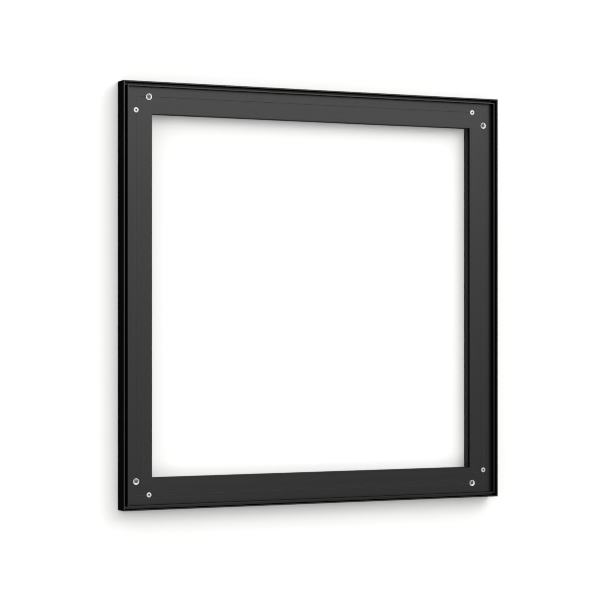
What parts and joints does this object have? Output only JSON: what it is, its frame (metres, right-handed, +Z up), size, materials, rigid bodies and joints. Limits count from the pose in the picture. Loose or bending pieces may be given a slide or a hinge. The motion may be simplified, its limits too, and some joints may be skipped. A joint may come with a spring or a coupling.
{
  "type": "floating wall frame",
  "caption": "Square black aluminium floating frame of mitred rails with a narrow edge groove, a recessed front plate, corner fasteners and sliding keyhole hangers in a rear slot.",
  "frame": {"origin": "centre of the square frame on the wall plane, which the bumpers rest against", "axes": "+X right as seen from the front, +Y into the wall, +Z up"},
  "size_m": [0.5, 0.021, 0.5],
  "materials": {
    "black_anodised": "satin black anodised extrusion",
    "bracket_alloy": "mill finish, sawn and drilled",
    "bush_zinc": "turned, bright zinc plated",
    "screw_steel": "blue zinc passivated",
    "screw_zinc": "satin nickel plated",
    "bumper_rubber": "soft black moulded rubber",
    "hanger_steel": "galvanised steel strip",
    "black_oxide_steel": "black oxide"
  },
  "bodies": {
    "frame": {"rail_top": "black_anodised", "rail_right": "black_anodised", "rail_bottom": "black_anodised", "rail_left": "black_anodised", "bracket_top_left": "bracket_alloy", "bracket_top_right": "bracket_alloy", "bracket_bottom_right": "bracket_alloy", "bracket_bottom_left": "bracket_alloy", "draw_bush_top_left": "bush_zinc", "draw_bush_top_right": "bush_zinc", "draw_bush_bottom_right": "bush_zinc", "draw_bush_bottom_left": "bush_zinc", "fixing_screw_top_left": "screw_zinc", "fixing_screw_top_right": "screw_zinc", "fixing_screw_bottom_right": "screw_zinc", "fixing_screw_bottom_left": "screw_zinc", "bumper_top_left": "bumper_rubber", "bumper_top_right": "bumper_rubber", "bumper_bottom_right": "bumper_rubber", "bumper_bottom_left": "bumper_rubber"},
    "hanger_left": {"hanger_left": "hanger_steel"},
    "hanger_right": {"hanger_right": "hanger_steel"},
    "hanger_screw_left": {"hanger_screw_left": "black_oxide_steel"},
    "hanger_screw_right": {"hanger_screw_right": "black_oxide_steel"},
    "draw_screw_top_left": {"draw_screw_top_left": "screw_steel"},
    "draw_screw_top_right": {"draw_screw_top_right": "screw_steel"},
    "draw_screw_bottom_right": {"draw_screw_bottom_right": "screw_steel"},
    "draw_screw_bottom_left": {"draw_screw_bottom_left": "screw_steel"}
  },
  "joints": [
    {"name": "hanger_left_slide", "type": "slide", "parent": "frame", "child": "hanger_left", "axis": [1, 0, 0], "range_m": [-0.045, 0.101]},
    {"name": "hanger_right_slide", "type": "slide", "parent": "frame", "child": "hanger_right", "axis": [1, 0, 0], "range_m": [-0.101, 0.045]},
    {"name": "hanger_screw_left_turn", "type": "hinge", "parent": "hanger_left", "child": "hanger_screw_left", "pos_m": [-0.14, -0.003, 0.2325], "axis": [0, 1, 0], "range_deg": [-100, 260]},
    {"name": "hanger_screw_right_turn", "type": "hinge", "parent": "hanger_right", "child": "hanger_screw_right", "pos_m": [0.14, -0.003, 0.2325], "axis": [0, 1, 0], "range_deg": [-100, 260]},
    {"name": "draw_screw_top_left_turn", "type": "hinge", "parent": "frame", "child": "draw_screw_top_left", "pos_m": [-0.2165, -0.0138, 0.2325], "axis": [0, -1, 0], "range_deg": [0, 450]},
    {"name": "draw_screw_top_right_turn", "type": "hinge", "parent": "frame", "child": "draw_screw_top_right", "pos_m": [0.2325, -0.0138, 0.2165], "axis": [0, -1, 0], "range_deg": [0, 450]},
    {"name": "draw_screw_bottom_right_turn", "type": "hinge", "parent": "frame", "child": "draw_screw_bottom_right", "pos_m": [0.2165, -0.0138, -0.2325], "axis": [0, -1, 0], "range_deg": [0, 450]},
    {"name": "draw_screw_bottom_left_turn", "type": "hinge", "parent": "frame", "child": "draw_screw_bottom_left", "pos_m": [-0.2325, -0.0138, -0.2165], "axis": [0, -1, 0], "range_deg": [0, 450]}
  ]
}
